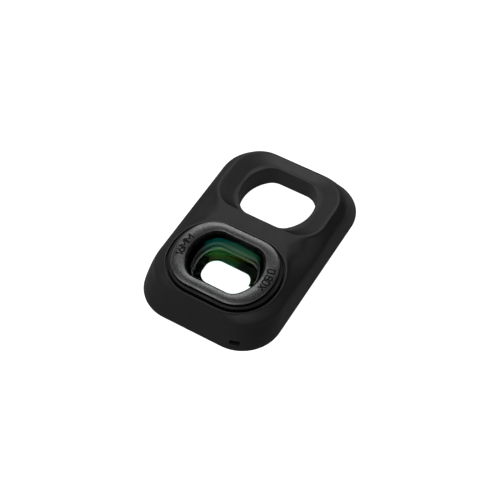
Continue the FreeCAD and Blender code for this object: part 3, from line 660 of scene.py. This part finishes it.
def outer_skin(surface, rim, mouth):
    """The housing from its foot up the wall and over the soft brow. Returns the brow's top outline."""
    crest, _ = top_outline(LAND)
    wall = Wall([FOOT_LEVEL, LOW_LEVEL, HIGH_LEVEL, TOP - CREST_BEVEL],
                [wall_section(0, 0), wall_section(*LOW_INSETS), wall_section(*HIGH_INSETS), crest])
    room = nearest(crest, rim, mouth)
    spread = softened(CREST_BEVEL + BROW_SPREAD * np.clip(room - room.min() - BROW_SLACK, 0, None))
    fall = CREST_BEVEL + BROW_FALL * (spread - CREST_BEVEL)
    rings = []
    for share, down in quarter():
        inset = FOOT_INSET * (1 - share)
        rings.append(surface.ring(wall_section(inset, inset, WALL_CORNER - inset), FOOT_LEVEL * down))
    crown = TOP - fall
    for share in np.linspace(0, 1, WALL_STEPS + 1)[1:]:
        heights = FOOT_LEVEL + (crown - FOOT_LEVEL) * share
        rings.append(surface.ring(wall.at(heights), heights))
    edge = wall.at(crown)
    below = 0.02
    lean = (edge - wall.at(crown - below)) / below * fall[:, None] * BROW_LEAN
    leaning = np.linalg.norm(lean, axis=1)
    tuck = np.minimum(spread, leaning + BROW_LEAST)
    held = np.minimum(1, (nearest(edge, rim, mouth) - BROW_CLEAR) / (leaning + tuck))[:, None]
    lean *= held
    brow = edge + lean + inward(crest) * tuck[:, None] * held
    for share in np.linspace(0, 1, BROW_STEPS + 1)[1:]:
        outline = edge * (1 - share) ** 2 + (edge + lean) * 2 * share * (1 - share) + brow * share ** 2
        # Painted highlight along the middle of the brow's rounding.
        glint = BROW_GLINT * share * (1 - share)
        rings.append(surface.ring(outline, TOP - fall * (1 - share) ** 2, glint))
    surface.join(rings)
    return brow


def collar_groove(surface, mouth):
    """The groove that the collar stands in, and the bore for the barrel. Returns the bore's outline."""
    floor = TOP - GROOVE_DEPTH
    bore = cut_circle(grown(BARREL, BORE_PLAY))
    rings = [surface.ring(mouth, TOP)]
    for share, down in quarter(4):
        lip = cut_circle(grown(GROOVE, GROOVE_LIP * (1 - share)))
        # The groove's lip gets the full painted highlight, a bright line round the groove.
        rings.append(surface.ring(lip, TOP - GROOVE_LIP * down, glint=1.0))
    rings += [surface.ring(outline, level)
              for outline, level in ((cut_circle(GROOVE), floor), (bore, floor), (bore, COVER_TOP))]
    surface.join(rings)
    return bore


def window_opening(surface, base):
    """The window with its rounded lip, in the floor of the dish."""
    dish_floor = TOP - DISH_DEPTH
    rings = []
    for share, down in quarter():
        lip = cut_circle(grown(WINDOW, WINDOW_LIP * (1 - share)), WINDOW_Y)
        # The window's lip gets a light painted highlight.
        rings.append(surface.ring(lip, dish_floor - WINDOW_LIP * down, glint=0.3))
    rings.append(surface.ring(cut_circle(WINDOW, WINDOW_Y), COVER_TOP))
    surface.join(rings)
    surface.flat(dish_floor, base, cut_circle(grown(WINDOW, WINDOW_LIP), WINDOW_Y))


def moulding():
    """The housing: bowed walls, waisted crest, dish, window, collar groove and rear rim."""
    surface = Surface()
    rim, base = dish_rings(surface)
    mouth = cut_circle(grown(GROOVE, GROOVE_LIP + GROOVE_STRIP))
    brow = outer_skin(surface, rim, mouth)
    bore = collar_groove(surface, mouth)
    surface.flat(TOP, brow, rim, mouth)
    window_opening(surface, base)

    seat_corner = WALL_CORNER - RIM_WALL
    half, end = HALF_WIDTH - RIM_WALL, HALF_LENGTH - RIM_WALL
    seat = round_box(half, -end, end, seat_corner, seat_corner)
    surface.join([surface.ring(seat, 0), surface.ring(seat, COVER_TOP)])
    surface.flat(0, wall_section(FOOT_INSET, FOOT_INSET, WALL_CORNER - FOOT_INSET), seat)
    surface.flat(COVER_TOP, seat, bore, cut_circle(WINDOW, WINDOW_Y))
    piece = surface.made("moulded_housing", [MOULDED], crease=HOUSING_CREASE)
    cut_notch(piece)
    return wear_piece(piece, "shell_plastic", "main_shell")


def cut_notch(piece):
    """Takes the release notch out of the near end, and gives its inside the matt black as painted shade.
    """
    surface = Surface()
    blunt, outside = NOTCH_HEIGHT * 0.3, 1.0
    across = HALF_WIDTH - NOTCH_SIDE
    outline = round_box(NOTCH_WIDTH / 2, NOTCH_LEVEL, NOTCH_LEVEL + NOTCH_HEIGHT, blunt, blunt, steps=6)
    ends = []
    for y in (-HALF_LENGTH - outside, NOTCH_REACH - HALF_LENGTH):
        ends.append([surface.mesh.verts.new(((x + across) * MM, y * MM, z * MM)) for x, z in outline])
        surface.mesh.faces.new(ends[-1])
    surface.join(ends)
    # The cutter's matt black passes to the notch's inside faces: painted shade in the recess.
    tool = surface.made("notch_tool", [MATT_BLACK])
    cut = piece.modifiers.new("notch", "BOOLEAN")
    cut.object = tool
    cut.solver = "EXACT"
    cut.material_mode = "TRANSFER"
    depsgraph = bpy.context.evaluated_depsgraph_get()
    carved = bpy.data.meshes.new_from_object(piece.evaluated_get(depsgraph))
    piece.modifiers.clear()
    piece.data = carved
    carved.set_sharp_from_angle(angle=radians(HOUSING_CREASE))
    bpy.data.objects.remove(tool)


def banded(name, profile, materials, slot, node):
    """A ring piece: a closed run of (outline, level, painted highlight) all the way round."""
    surface = Surface()
    rings = [surface.ring(outline, level, glint) for outline, level, glint in profile]
    surface.join(rings, closed=True)
    return wear_piece(surface.made(name, materials), slot, node)


def barrel():
    """Holder of the glasses with its collar, which stands up in the groove."""
    edge, play = 0.36, 0.05
    profile = [
        (cut_circle(BARREL), BARREL_FOOT, 0),
        (cut_circle(BARREL), TOP - GROOVE_DEPTH, 0),
        (cut_circle(COLLAR), TOP - GROOVE_DEPTH, 0),
    ]
    for share, down in quarter(6):
        # Painted highlight on the upper half of the collar's rounding.
        glint = max(0.0, 2 * share - 1)
        profile.append((cut_circle(grown(COLLAR, -edge * down)), COLLAR_TOP - edge * (1 - share), glint))
    steps = [
        (grown(FRONT, play), COLLAR_TOP, SPACER_FOOT),
        (grown(REAR, play), SPACER_FOOT, REAR_SEAT),
        (NARROW, REAR_SEAT, BARREL_FOOT),
    ]
    for plan, upper, lower in steps:
        profile += [(cut_circle(plan), upper, 0), (cut_circle(plan), lower, 0)]
    return banded("barrel_and_collar", profile, [GLOSS_BLACK], "black_anodised", "lens_barrel")


def bezel():
    """Ring with a blasted grey face and a black outer side, bore and underside. The black of its outer
    side is painted shade, and its bevel and the edge of its mouth carry a painted highlight.
    """
    bevel, blunt = 0.12, 0.03
    slight = blunt * 0.3
    rim = BEZEL_TOP - FACE_FALL
    surface = Surface()

    def ring(plan, by, level, glint=0.0):
        return surface.ring(cut_circle(grown(plan, by)), level, glint)

    side = [ring(BEZEL, 0, COLLAR_TOP), ring(BEZEL, 0, rim - bevel - blunt)]
    top = [
        side[-1],
        # Painted highlight along the bevel and, below, at the edge of the mouth.
        ring(BEZEL, -slight, rim - bevel, glint=1),
        ring(BEZEL, -bevel, rim - slight, glint=1),
        ring(BEZEL, -bevel - blunt, rim),
    ]
    mouth = [
        ring(MOUTH, blunt, BEZEL_TOP),
        ring(MOUTH, slight, BEZEL_TOP - slight, glint=1),
        ring(MOUTH, 0, BEZEL_TOP - blunt),
    ]
    bore = [mouth[-1], ring(MOUTH, 0, COLLAR_TOP)]
    # The outer side takes the black finish as painted shade.
    surface.join(side, surface=1)
    surface.join(top)
    surface.join([top[-1], mouth[0]])
    surface.join(mouth)
    surface.join(bore, surface=1)
    surface.join([bore[-1], side[0]], surface=1)
    piece = surface.made("blasted_bezel", [GREY, GLOSS_BLACK], crease=28)
    return wear_piece(piece, "grey_anodised", "lens_bezel")


def sweep_nodes(tree, lines, profile):
    """Adds nodes that sweep a profile along lines with its sides upright. Returns the sweep."""
    nodes, links = tree.nodes, tree.links
    curve = nodes.new("GeometryNodeMeshToCurve")
    upright = nodes.new("GeometryNodeSetCurveNormal")
    upright.mode = "Z_UP"
    sweep = nodes.new("GeometryNodeCurveToMesh")
    links.new(lines, curve.inputs["Mesh"])
    links.new(curve.outputs["Curve"], upright.inputs["Curve"])
    links.new(upright.outputs["Curve"], sweep.inputs["Curve"])
    links.new(profile.outputs["Curve"], sweep.inputs["Profile Curve"])
    return sweep


def finish_nodes(tree, shape, material, result):
    """Adds nodes that make copies real, give them a material and hand them over."""
    nodes, links = tree.nodes, tree.links
    real = nodes.new("GeometryNodeRealizeInstances")
    finish = nodes.new("GeometryNodeSetMaterial")
    links.new(shape, real.inputs["Geometry"])
    links.new(real.outputs["Geometry"], finish.inputs["Geometry"])
    links.new(material, finish.inputs["Material"])
    links.new(finish.outputs["Geometry"], result)


def engraving_strokes():
    """Tree: turns the edges of a mesh into flat strokes of one width and depth."""
    tree = bpy.data.node_groups.new("engraving_strokes", "GeometryNodeTree")
    value_socket(tree, "Strokes", "NodeSocketGeometry")
    value_socket(tree, "Width", "NodeSocketFloat", 0.0002)
    value_socket(tree, "Depth", "NodeSocketFloat", 0.00002)
    value_socket(tree, "Paint", "NodeSocketMaterial")
    value_socket(tree, "Marks", "NodeSocketGeometry", output=True)
    nodes, links = tree.nodes, tree.links
    given, taken = nodes.new("NodeGroupInput"), nodes.new("NodeGroupOutput")
    profile = nodes.new("GeometryNodeCurvePrimitiveQuadrilateral")
    links.new(given.outputs["Width"], profile.inputs["Width"])
    links.new(given.outputs["Depth"], profile.inputs["Height"])
    sweep = sweep_nodes(tree, given.outputs["Strokes"], profile)
    sweep.inputs["Fill Caps"].default_value = True
    finish_nodes(tree, sweep.outputs["Mesh"], given.outputs["Paint"], taken.inputs["Marks"])
    return tree


def stacked_ribs():
    """Tree: sweeps a small four-sided rib along an outline and stacks copies of it."""
    tree = bpy.data.node_groups.new("stacked_ribs", "GeometryNodeTree")
    value_socket(tree, "Outline", "NodeSocketGeometry")
    value_socket(tree, "Count", "NodeSocketInt", 5)
    value_socket(tree, "Pitch", "NodeSocketFloat", 0.00025)
    value_socket(tree, "Rib size", "NodeSocketFloat", 0.0001)
    value_socket(tree, "Paint", "NodeSocketMaterial")
    value_socket(tree, "Ribs", "NodeSocketGeometry", output=True)
    nodes, links = tree.nodes, tree.links
    given, taken = nodes.new("NodeGroupInput"), nodes.new("NodeGroupOutput")
    profile = nodes.new("GeometryNodeCurvePrimitiveCircle")
    profile.inputs["Resolution"].default_value = 4
    links.new(given.outputs["Rib size"], profile.inputs["Radius"])
    sweep = sweep_nodes(tree, given.outputs["Outline"], profile)
    step = nodes.new("ShaderNodeCombineXYZ")
    stack = nodes.new("GeometryNodeMeshLine")
    copies = nodes.new("GeometryNodeInstanceOnPoints")
    links.new(given.outputs["Pitch"], step.inputs["Z"])
    links.new(given.outputs["Count"], stack.inputs["Count"])
    links.new(step.outputs["Vector"], stack.inputs["Offset"])
    links.new(stack.outputs["Mesh"], copies.inputs["Points"])
    links.new(sweep.outputs["Mesh"], copies.inputs["Instance"])
    finish_nodes(tree, copies.outputs["Instances"], given.outputs["Paint"], taken.inputs["Ribs"])
    return tree


def grown_from(name, lines, tree, **values):
    """The plain mesh that a tree makes from lines of points, each closed or open."""
    data = bpy.data.meshes.new(f"{name}_lines")
    verts, edges = [], []
    for points, closed in lines:
        first = len(verts)
        verts += [tuple(coordinate * MM for coordinate in point) for point in points]
        edges += [(first + at, first + at + 1) for at in range(len(points) - 1)]
        if closed:
            edges.append((len(verts) - 1, first))
    data.from_pydata(verts, edges, [])
    carrier = placed(f"{name}_lines", data)
    maker = carrier.modifiers.new("maker", "NODES")
    maker.node_group = tree
    for item in tree.interface.items_tree:
        if item.item_type != "SOCKET" or item.in_out != "INPUT":
            continue
        key = item.name.replace(" ", "_")
        if key in values:
            maker[item.identifier] = values[key]
    depsgraph = bpy.context.evaluated_depsgraph_get()
    made = bpy.data.meshes.new_from_object(carrier.evaluated_get(depsgraph))
    bpy.data.objects.remove(carrier)
    shape = bmesh.new()
    shape.from_mesh(made)
    clean(shape)
    shape.to_mesh(made)
    shape.free()
    made.name = name
    return placed(name, made)


def oval(centre, half_width, half_height):
    """Points of a squarish oval."""
    power, count = 0.62, 18
    points = []
    for turn in np.radians(np.linspace(0, 360, count)):
        x = abs(cos(turn)) ** power * (1 if cos(turn) >= 0 else -1)
        y = abs(sin(turn)) ** power * (1 if sin(turn) >= 0 else -1)
        points.append((centre[0] + half_width * x, centre[1] + half_height * y))
    return points


# Each sign is a width and its strokes, drawn on a body one unit tall.
SIGNS = {
    "1": (0.36, [[(0.02, 0.78), (0.3, 1.0)], [(0.3, 1.0), (0.3, 0.0)]]),
    "6": (0.66, [oval((0.33, 0.29), 0.33, 0.29), [(0.03, 0.4), (0.2, 0.72), (0.46, 1.0)]]),
    "8": (0.66, [oval((0.33, 0.27), 0.33, 0.27), oval((0.33, 0.77), 0.28, 0.23)]),
    "0": (0.66, [oval((0.33, 0.5), 0.33, 0.5)]),
    ".": (0.1, [[(0.05, 0.0), (0.05, 0.1)]]),
    "M": (1.0, [[(0.0, 0.0), (0.0, 1.0)], [(0.0, 1.0), (0.5, 0.3)], [(0.5, 0.3), (1.0, 1.0)],
                [(1.0, 1.0), (1.0, 0.0)]]),
    "X": (0.72, [[(0.0, 0.0), (0.72, 1.0)], [(0.0, 1.0), (0.72, 0.0)]]),
}


def on_face(x, y, middle_turn):
    """Place on the bezel's face of a point x along a mark and y up its signs, both in sign heights."""
    turn = radians(middle_turn) - x * MARK_HEIGHT / (MARK_FOOT + MARK_HEIGHT / 2)
    out = MARK_FOOT + y * MARK_HEIGHT
    slope = FACE_FALL / (BEZEL[0] - MOUTH[0])
    return out * cos(turn), LENS_Y + out * sin(turn), BEZEL_TOP - slope * (out - MOUTH[0])


def bezel_marks():
    """Plain numbers on the bezel's round sides, their tops outwards, filled with black."""
    lines = []
    for signs, middle_turn in MARKS:
        wide = sum(SIGNS[sign][0] for sign in signs) + MARK_GAP * (len(signs) - 1)
        start = -wide / 2
        for sign in signs:
            width, strokes = SIGNS[sign]
            for points in strokes:
                lines.append(([on_face(start + x, y, middle_turn) for x, y in points], False))
            start += width + MARK_GAP
    piece = grown_from("bezel_marks", lines, engraving_strokes(), Width=MARK_STROKE * MM,
                       Depth=2 * MARK_RISE * MM, Paint=MARK_BLACK)
    return wear_piece(piece, "black_anodised")


def stray_light_ribs():
    """Fine ribs round the bore between the glasses."""
    size, pitch, count = 0.09, 0.22, 4
    bite, start = 0.02, 0.08
    outline = cut_circle(grown(WIDE, -bite))
    lines = [([(x, y, SPACER_TOP - start) for x, y in outline], True)]
    piece = grown_from("stray_light_ribs", lines, stacked_ribs(), Count=count, Pitch=-pitch * MM,
                       Rib_size=size * MM, Paint=BORE_BLACK)
    return wear_piece(piece, "black_anodised")


def dome(outline, curve, half_width, level):
    """Height of a sphere at each point of an outline about the lens axis."""
    out = np.hypot(outline[:, 0], outline[:, 1] - LENS_Y)
    return level + np.sqrt(curve ** 2 - out ** 2) - sqrt(curve ** 2 - half_width ** 2)


def hood():
    """Black funnel that holds the front glass down and hugs its dome."""
    rim, blunt, step, clear, lip, overlap = 0.2, 0.04, 0.5, 0.03, 0.06, 0.15
    throat = cut_circle(SIGHT)
    under = cut_circle(grown(FRONT, overlap))
    glass_top = dome(throat, FRONT_CURVE, FRONT[0], COLLAR_TOP) + clear
    glass_edge = dome(under, FRONT_CURVE, FRONT[0], COLLAR_TOP) + clear
    profile = [
        (cut_circle(HOOD), COLLAR_TOP, 0),
        (cut_circle(HOOD), HOOD_TOP - blunt, 0),
        (cut_circle(grown(HOOD, -blunt)), HOOD_TOP, 1),
        (cut_circle(grown(HOOD, -rim)), HOOD_TOP, 1),
        (throat, np.maximum(COLLAR_TOP + step, glass_top + lip), 0.5),
        (throat, glass_top, 0),
        (under, np.maximum(glass_edge, COLLAR_TOP), 0),
    ]
    return banded("funnel_hood", profile, [MATT_BLACK], "black_anodised", "hood_ring")


def glinting_edge(plan, level):
    """Profile of an inner edge: a fine chamfer with a painted highlight, between clean faces."""
    size = 0.04
    return [
        (cut_circle(grown(plan, 2 * size)), level, 0),
        (cut_circle(grown(plan, size)), level, 1),
        (cut_circle(plan), level - size, 1),
        (cut_circle(plan), level - 2 * size, 0),
    ]


def spacer():
    """Stepped ring between the glasses, undercut and bevelled where it meets the rear glass."""
    step_down, undercut, clear = 0.8, 0.12, 0.08
    wide, narrow = cut_circle(WIDE), cut_circle(NARROW)
    outer = cut_circle(FRONT)
    step = SPACER_TOP - step_down
    relief = dome(narrow, REAR_FRONT_CURVE, REAR[0], SPACER_FOOT) + clear
    profile = [
        (outer, SPACER_FOOT, 0),
        (outer, SPACER_TOP, 0),
        *glinting_edge(WIDE, SPACER_TOP),
        (wide, step, 0),
        *glinting_edge(NARROW, step),
        (cut_circle(grown(NARROW, undercut)), (step + relief.max()) / 2, 0),
        # The rim that meets the rear glass gets a painted highlight.
        (narrow, relief, 0.4),
        (cut_circle(grown(REAR, undercut)), SPACER_FOOT, 0),
    ]
    return banded("stepped_spacer", profile, [BORE_BLACK], "black_anodised", "spacer_ring")


def glass(name, node, plan, foot, height, front, back):
    """A flat-sided meniscus with polished faces and blackened sides."""
    surface = Surface()
    edge = cut_circle(plan)
    centre = np.array((0, LENS_Y))
    last_turn, ring_count = 0.03, 36
    shares = np.sin(np.linspace(pi / 2, last_turn, ring_count))
    rims = []
    for curve, half_width, level in ((front, plan[0], foot + height), (back, NARROW[0], foot)):
        rings = []
        for share in shares:
            outline = centre + (edge - centre) * share
            heights = np.maximum(dome(outline, curve, half_width, level), level)
            rings.append(surface.ring(outline, heights))
        apex = level + curve - sqrt(curve ** 2 - half_width ** 2)
        surface.disc(rings, (0, LENS_Y, apex))
        rims.append(rings[0])
    surface.join(rims, surface=1)
    piece = surface.made(name, [GLASS, MATT_BLACK], crease=25)
    return wear_piece(piece, "coated_glass", node)


def pad():
    """Soft ring round the rear opening, rounded where it meets the camera."""
    low, high = extent("lens_pad", 2)
    soft = 0.12
    slight = soft * 0.3
    inner = grown(PAD, -PAD_WIDTH)
    half_section = [(0, high), (0, low + soft), (slight, low + slight), (soft, low)]
    profile = [(cut_circle(grown(PAD, -by)), level, 0) for by, level in half_section]
    profile += [(cut_circle(grown(inner, by)), level, 0) for by, level in reversed(half_section)]
    return banded("soft_pad", profile, [RUBBER], "pad_rubber", "lens_pad")


def block_magnet(node):
    """Plated block magnet with rounded corners and edges."""
    corner, edge = 0.8, 0.25
    across, (near, far), (foot, top) = (extent(node, axis) for axis in range(3))
    shift = (sum(across) / 2, 0)
    half = (across[1] - across[0]) / 2

    def outline(inset):
        turn = corner - inset
        return round_box(half - inset, near + inset, far - inset, turn, turn, steps=6) + shift

    surface = Surface()
    rings = [surface.ring(outline(0), foot)]
    for share, down in reversed(quarter(3)):
        rings.append(surface.ring(outline(edge * (1 - share)), top - edge * down))
    surface.join(rings)
    surface.flat(foot, outline(0))
    surface.flat(top, outline(edge))
    return wear_piece(surface.made(f"block_{node}", [NICKEL]), "magnet_nickel", node)


def dress_node(node, material):
    """A finish on a piece that keeps its own shape."""
    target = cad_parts[node]
    target.data.materials.clear()
    target.data.materials.append(material)


def softbox(name, place, width, height, radiance):
    """A rectangular light that faces the middle of the part. place is millimetres.

    Its energy grows with its area, so that a wider box is no dimmer.
    """
    data = bpy.data.lights.new(name, "AREA")
    data.shape = "RECTANGLE"
    data.size, data.size_y = width * MM, height * MM
    data.energy = radiance * pi * pi * width * height * MM * MM
    light = placed(name, data)
    light.location = Vector(place) * MM
    light.rotation_euler = (-Vector(place)).to_track_quat("-Z", "Y").to_euler()
    light.visible_camera = False


def studio():
    """White table, softboxes round the part and a dim room."""
    size = TABLE_HALF * MM
    corners = [(-size, -size, 0), (size, -size, 0), (size, size, 0), (-size, size, 0)]
    data = bpy.data.meshes.new("table")
    data.from_pydata(corners, [], [(0, 1, 2, 3)])
    data.materials.append(pale_floor())
    table = placed("table", data)
    table.location.z = -TABLE_DROP * MM
    for name, (place, width, height, radiance) in SOFTBOXES.items():
        softbox(name, place, width, height, radiance)
    world = bpy.data.worlds.new("studio")
    world.use_nodes = True
    background = world.node_tree.nodes["Background"]
    background.inputs["Strength"].default_value = ROOM_GLOW
    background.inputs["Color"].default_value = (1.0, 1.0, 1.0, 1.0)
    bpy.context.scene.world = world
    bpy.context.scene.view_settings.view_transform = "Standard"


def photo_camera():
    """The camera, at the photograph's place and with its lens."""
    data = bpy.data.cameras.new("photo_camera")
    data.lens = CAMERA_FOCAL
    data.sensor_width = 36.0
    data.clip_start, data.clip_end = 0.01, 20.0
    camera = placed("photo_camera", data)
    level = cos(CAMERA_ELEVATION)
    back = Vector((sin(CAMERA_AZIMUTH) * level, -cos(CAMERA_AZIMUTH) * level, sin(CAMERA_ELEVATION)))
    camera.location = (CAMERA_TARGET + back * CAMERA_DISTANCE) * MM
    camera.rotation_euler = (-back).to_track_quat("-Z", "Y").to_euler()
    bpy.context.scene.camera = camera


moulding()
barrel()
bezel()
bezel_marks()
hood()
spacer()
stray_light_ribs()
glass("front_glass", "front_element", FRONT, SPACER_TOP, FRONT_EDGE, FRONT_CURVE, HOLLOW_CURVE)
glass("rear_glass", "rear_element", REAR, REAR_SEAT, REAR_EDGE, REAR_FRONT_CURVE, REAR_BACK_CURVE)
pad()
dress_node("back_cover", COVER)
dress_node("field_mask", FLOCK)
for corner in ("near_left", "near_right", "far_left", "far_right"):
    block_magnet(f"magnet_{corner}")
studio()
photo_camera()
